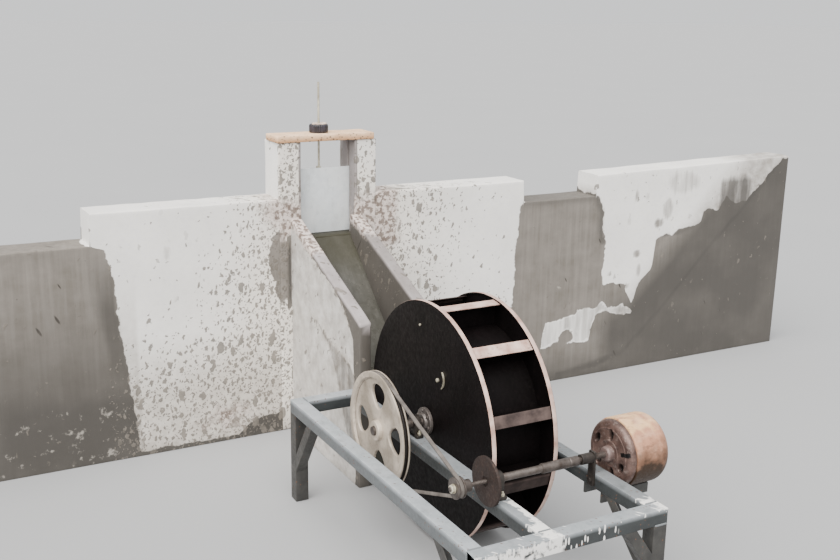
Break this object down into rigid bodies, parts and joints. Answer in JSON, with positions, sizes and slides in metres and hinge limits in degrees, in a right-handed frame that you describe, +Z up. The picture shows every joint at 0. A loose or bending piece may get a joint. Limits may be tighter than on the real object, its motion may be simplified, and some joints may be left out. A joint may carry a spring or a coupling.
{
  "type": "micro hydro plant",
  "caption": "Low concrete dam with a sluice gate and steep chute that feeds a bladed water wheel on an angle-steel frame; one belt drives a small generator.",
  "frame": {"origin": "centre of the plant's bounding box on the floor", "axes": "+X along the dam to the right as seen from downstream, +Y upstream, +Z up"},
  "size_m": [4.414, 1.708, 1.217],
  "materials": {
    "limewash": "lime-washed concrete, stained and worn",
    "mortar": "smooth wet cement mortar with scratches",
    "wet_concrete": "wet dark concrete",
    "board": "pale pinkish cast board with pits",
    "gate_sheet": "pale blue-grey zinc sheet",
    "rod_steel": "pale threaded steel rod",
    "black_plastic": "black moulded plastic",
    "galvanised": "hot-dip galvanised angle, splashed with paint",
    "wet_black": "wet brown-black sheet steel with pale worn edges",
    "cast_grey": "grey cast iron",
    "dark_steel": "dark oiled steel",
    "rust": "brown rusted casting",
    "belt_rubber": "grey worn rubber",
    "cream_paint": "scuffed beige paint"
  },
  "bodies": {
    "root": {"left_wall": "limewash", "right_wall": "limewash", "left_spillway_wall": "mortar", "right_spillway_wall": "mortar", "sluice_sill": "wet_concrete", "left_wing_wall": "limewash", "right_wing_wall": "limewash", "left_pillar": "limewash", "right_pillar": "limewash", "cross_board": "board", "chute_left_wall": "limewash", "chute_right_wall": "limewash", "chute_ramp": "wet_concrete", "outer_rail": "galvanised", "inner_rail": "galvanised", "right_rail": "galvanised", "near_beam": "galvanised", "far_beam": "galvanised", "leg_near_left": "galvanised", "leg_near_right": "galvanised", "leg_far_left": "galvanised", "leg_far_right": "galvanised", "left_far_brace": "galvanised", "left_near_brace": "galvanised", "right_far_brace": "galvanised", "right_near_brace": "galvanised", "beam_right_brace": "galvanised", "belt": "belt_rubber", "wheel_left_bearing": "cast_grey", "wheel_right_bearing": "cast_grey", "shaft_left_bearing": "cast_grey", "bearing_upright": "galvanised", "generator_bracket": "galvanised", "generator_shield": "rust", "generator_body": "cream_paint"},
    "water_wheel": {"wheel_left_disc": "wet_black", "wheel_right_disc": "wet_black", "bladed_drum": "wet_black", "wheel_axle": "dark_steel", "big_pulley": "cast_grey"},
    "countershaft": {"countershaft": "dark_steel", "small_pulley": "dark_steel", "flywheel_disc": "rust"},
    "sluice_gate": {"gate_plate": "gate_sheet", "gate_rod": "rod_steel"},
    "hand_nut": {"hand_nut": "black_plastic"}
  },
  "joints": [
    {"name": "wheel_spin", "type": "hinge", "parent": "root", "child": "water_wheel", "pos_m": [0, -0.187, 0.355], "axis": [1, 0, 0], "continuous": true},
    {"name": "shaft_spin", "type": "hinge", "parent": "root", "child": "countershaft", "pos_m": [0, -0.609, 0.363], "axis": [1, 0, 0], "continuous": true},
    {"name": "gate_lift", "type": "slide", "parent": "root", "child": "sluice_gate", "axis": [0, 0, 1], "range_m": [0, 0.085]},
    {"name": "nut_turn", "type": "hinge", "parent": "root", "child": "hand_nut", "pos_m": [-0.011, 0.781, 1.06], "axis": [0, 0, 1], "continuous": true}
  ],
  "couplings": [
    {"joint": "shaft_spin", "follows": "wheel_spin", "ratio": 6.037}
  ]
}
